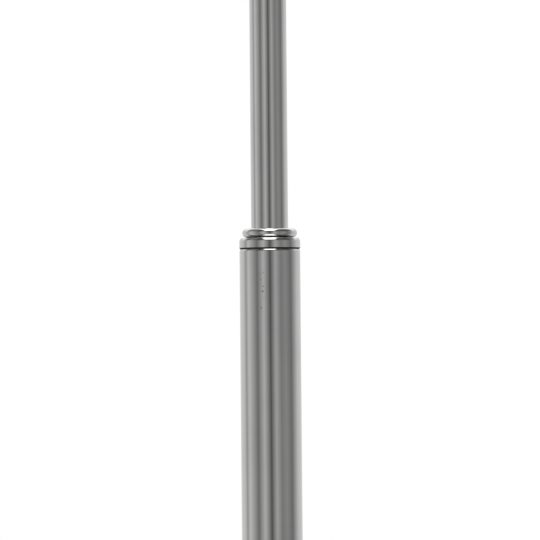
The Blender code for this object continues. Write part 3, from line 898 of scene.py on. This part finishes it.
# One turn of the thread's outline is wound along the bar, a little past both ends
def windThread(shoulder, end, radius):
    root, lead = radius - screw["depth"], screw["lead"]
    land = (lead - screw["crest"]) / 2 - screw["flank"]
    rise = land + screw["flank"]
    first = shoulder - screw["turnsBefore"] * lead
    turns = math.ceil((end - first) / lead) + 1
    steps = screw["stepsPerTurn"]
    places = [0, land, rise, lead - rise, lead - land, lead]
    radii = [root, root, radius, radius, root, root]
    shape = bmesh.new()
    points = [shape.verts.new((first + p, 0, r)) for p, r in zip(places, radii)]
    edges = [shape.edges.new(pair) for pair in zip(points, points[1:])]
    bmesh.ops.spin(
        shape, geom=points + edges, cent=(0, 0, 0), axis=(1, 0, 0), dvec=(lead / steps, 0, 0),
        angle=math.tau * turns, space=Matrix.Identity(4), steps=steps * turns,
        use_merge=False, use_duplicate=False,
    )
    bmesh.ops.remove_doubles(shape, verts=shape.verts, dist=screw["weld"])
    for place, side in ((shoulder - screw["spare"], -1), (end + screw["spare"], 1)):
        bmesh.ops.bisect_plane(
            shape, geom=shape.verts[:] + shape.edges[:] + shape.faces[:],
            dist=turning["merge"], plane_co=(place, 0, 0), plane_no=(side, 0, 0),
            clear_outer=True,
        )
    bmesh.ops.holes_fill(shape, edges=[edge for edge in shape.edges if edge.is_boundary])
    bmesh.ops.recalc_face_normals(shape, faces=shape.faces)
    return shape


# The thread is trimmed to a turned blank, then joined to the plain journal and drilled
def makeScrew():
    start, end, radius = spanOf("drive_screw")
    shoulder = spanOf("screw_anchor")[1] + ends["gap"]
    threaded = finishMesh("drive_screw_threaded", windThread(shoulder, end, radius))
    low, high = radius - screw["depth"] + screw["startStep"], radius + screw["clear"]
    blank = turnSection([
        (shoulder, 0.0, 0),
        (shoulder, low, 0),
        (shoulder + screw["endChamfer"], high, 0),
        (end - screw["endChamfer"], high, 0),
        (end, low, 0),
        (end, screw["boltHole"], screw["boltHoleEdge"]),
        (end - screw["boltHoleDepth"], screw["boltHole"], 0),
        (end - screw["boltHoleDepth"], 0.0, 0),
    ], screw["sides"])
    carve(threaded, finishMesh("blank", blank), "INTERSECT")
    joined = shoulder + screw["join"]
    journal = turnSection([
        (start, 0.0, 0),
        (start, screw["journal"], screw["journalEdge"]),
        (joined, screw["journal"], 0),
        (joined, 0.0, 0),
    ], screw["sides"])
    carve(threaded, finishMesh("journal", journal), "UNION")
    for place, size in holePlaces(["screw_anchor_pin"]):
        drill(threaded, place, size)
    shape = bmesh.new()
    shape.from_mesh(threaded.data)
    bmesh.ops.triangulate(shape, faces=shape.faces)
    shape.to_mesh(threaded.data)
    shape.free()
    fit(threaded, "drive_screw", "zinc_steel")


def makeAnchor():
    bore = screw["journal"] + ends["gap"]
    shape = turnSection(ringCorners("screw_anchor", bore, *anchorEdges))
    anchor = finishMesh("screw_anchor_turned", shape)
    for place, size in holePlaces(["screw_anchor_pin"]):
        drill(anchor, place, size)
    fit(anchor, "screw_anchor", "zinc_steel")


makeScrew()
makeAnchor()
print("Cut the drive screw's thread")

grips = {
    "thickness": 0.0055,
    "rounding": 0.0024,
    "boreEdge": 0.0008,
    "squeeze": 0.00045,  # how far the ends pull in
    "squeezeLength": 0.018,
    "lumps": 0.00030,
    "lumpsPerMetre": 38,
    "dents": 0.00016,
    "dentsPerMetre": 210,
    "facet": 0.0016,
    "sides": 150,
    "steps": 8,
    "fill": 0.9,
}


# The sleeve pulls in towards its ends, and its skin isn't quite even
def makeGrip(node, seed):
    start, end, radius = spanOf(node)
    bore = radius - grips["thickness"]
    shape = turnSection(
        [
            (start, bore, grips["boreEdge"]),
            (start, radius, grips["rounding"]),
            (end, radius, grips["rounding"]),
            (end, bore, grips["boreEdge"]),
        ],
        grips["sides"], grips["steps"], grips["facet"],
    )
    shift = Vector((seed, 0, 0))

    def uneven(place, perMetre):
        return 0.5 + 0.5 * noise.noise(place * perMetre + shift)

    for point in shape.verts:
        outwards = Vector((0, point.co.y, point.co.z))
        share = (outwards.length - bore) / grips["thickness"]
        nearest = min(point.co.x - start, end - point.co.x)
        pull = max(0.0, 1 - nearest / grips["squeezeLength"]) ** 2 * grips["squeeze"]
        lump = uneven(point.co, grips["lumpsPerMetre"]) * grips["lumps"]
        dent = uneven(point.co, grips["dentsPerMetre"]) * grips["dents"]
        inwards = pull + lump + dent
        point.co -= outwards.normalized() * inwards * max(0.0, share)
    bmesh.ops.recalc_face_normals(shape, faces=shape.faces)
    grip = fit(finishMesh(node + "_sleeve", shape), node, "black_foam")


for node, seed in (("thick_grip", 3.0), ("thin_grip", 11.0)):
    makeGrip(node, seed)
print("Sleeved both grips")

camera = {
    "lens": 200,
    "sensor": 36,
    "height": 0.3105,  # stretch of bar that fills the view
    "middle": 0.4283,
    "aside": 0.0,
    "pitch": math.radians(0.85),  # it looks up along the bar
    "roll": math.radians(0.5),
}


def makeCamera():
    data = bpy.data.cameras.new("studioCamera")
    data.lens = camera["lens"]
    data.sensor_width = camera["sensor"]
    taker = bpy.data.objects.new("studioCamera", data)
    bpy.context.scene.collection.objects.link(taker)
    distance = camera["height"] * camera["lens"] / camera["sensor"]
    ahead = Vector((math.sin(camera["pitch"]), math.cos(camera["pitch"]), 0))
    alongBar = Vector((math.cos(camera["pitch"]), -math.sin(camera["pitch"]), 0))
    acrossBar = Vector((0, 0, -1))
    right = math.cos(camera["roll"]) * acrossBar - math.sin(camera["roll"]) * alongBar
    up = math.cos(camera["roll"]) * alongBar + math.sin(camera["roll"]) * acrossBar
    turned = Matrix((right, up, -ahead)).transposed().to_4x4()
    target = Vector((camera["middle"], 0, camera["aside"]))
    taker.matrix_world = Matrix.Translation(target - ahead * distance) @ turned
    bpy.context.scene.camera = taker


makeCamera()

# The studio round the bar, as a chrome surface sees it. One set of soft bands runs the whole
# length: pale walls behind, a softbox and a dark flag on each side, and a dark gap in front.
# Each has its angle round the bar from the front, negative over the top, and its shade.
studio = {
    "chromeShare": 0.59,  # light that the chrome gives back
    "bands": [
        (-180, 0.75), (-120, 0.70), (-105, 0.55), (-90, 0.70), (-50, 0.40), (-25, 0.65),
        (0, 0.30), (20, 0.60), (40, 0.45), (60, 0.50), (85, 0.40), (120, 0.70), (180, 0.75),
    ],
    "topLight": 3.0,
    "topLightLean": (0.66, 0.84),
    "topLightWidth": (0.37, 0.21),
    "topShade": 0.38,  # how much of the bands is left high up, outside the strip light
    "topShadeLean": (0.30, 0.60),
    "lowLight": 2.4,
    "lowLightLean": (-0.60, -0.74),
    "lowLightWidth": (0.34, 0.17),
    "backGlow": 1.3,
    "backGlowLean": (0.25, 0.50),
    "backGlowAcross": (0.3, 0.7),
    "softLight": 0.66,  # on everything that isn't a mirror
}


def bandStops(bands):
    gain = 1 / studio["chromeShare"]
    return [(angle / 360 + 0.5, (gain * shade ** 2.2,) * 3) for angle, shade in bands]


def grey(brightness):
    return (brightness,) * 3 + (1.0,)


# The bands fade high up, outside the strip light
def mixBands(sky, turnedBy, lean):
    place = turnedBy / math.tau + 0.5
    bands = sky.add("ValToRGB", {"stops": bandStops(studio["bands"])}, {0: place})
    shade = sky.between(lean, *studio["topShadeLean"], 1.0, studio["topShade"])
    return sky.add("VectorMath", {"operation": "SCALE"}, {0: bands, "Scale": shade})


# Only a mirror sees the bands and strip lights. The camera sees white, and all else soft light.
def makeWorld():
    world = bpy.data.worlds.new("studio")
    bpy.context.scene.world = world
    world.use_nodes = True
    sky = NodeSet(world.node_tree)
    background = world.node_tree.nodes["Background"]
    lean, across, upright = sky.axes(sky.add("TexCoord", output="Generated"))
    turnedBy = sky.add("Math", {"operation": "ARCTAN2"}, {0: upright * -1, 1: across * -1})
    lit = mixBands(sky, turnedBy, lean)
    behind = sky.between(lean, *studio["backGlowLean"])
    behind = behind * sky.between(across, *studio["backGlowAcross"])
    lit = sky.mixColours(behind, lit, grey(studio["backGlow"]))
    sideways = sky.distance(upright, 0.0)
    for light in ("topLight", "lowLight"):
        strip = sky.between(lean, *studio[light + "Lean"])
        strip = strip * sky.between(sideways, *studio[light + "Width"])
        lit = sky.mixColours(strip, lit, grey(studio[light]))
    seen = sky.add("LightPath", output="Is Camera Ray")
    mirrored = sky.add("LightPath", output="Is Glossy Ray")
    colour = sky.mixColours(mirrored, grey(studio["softLight"]), lit)
    colour = sky.mixColours(seen, colour, grey(1.0))
    sky.give(background.inputs["Color"], colour)


floor = {
    "below": 0.20,
    "size": 16.0,
    "colour": (0.90, 0.90, 0.895, 1.0),
    "roughness": 0.6,
}
sun = {
    "strength": 2.3,
    "softness": math.radians(20),
    "from": (math.radians(24), math.radians(-14), 0),
}


def makeFloor():
    shape = bmesh.new()
    bmesh.ops.create_grid(shape, x_segments=4, y_segments=4, size=floor["size"] / 2)
    bmesh.ops.translate(shape, vec=(camera["middle"], 0, -floor["below"]), verts=shape.verts)
    ground = finishMesh("studioFloor", shape)
    paper = bpy.data.materials.new("studioPaper")
    paper.use_nodes = True
    shader = paper.node_tree.nodes["Principled BSDF"]
    shader.inputs["Base Color"].default_value = floor["colour"]
    shader.inputs["Roughness"].default_value = floor["roughness"]
    ground.data.materials.append(paper)
    ground.visible_glossy = False


def makeSun():
    data = bpy.data.lights.new("softSun", "SUN")
    data.energy = sun["strength"]
    data.angle = sun["softness"]
    lamp = bpy.data.objects.new("softSun", data)
    lamp.rotation_euler = sun["from"]
    lamp.visible_glossy = False
    bpy.context.scene.collection.objects.link(lamp)


makeWorld()
makeFloor()
makeSun()
bpy.context.scene.view_settings.view_transform = "Standard"
print("Lit the studio")
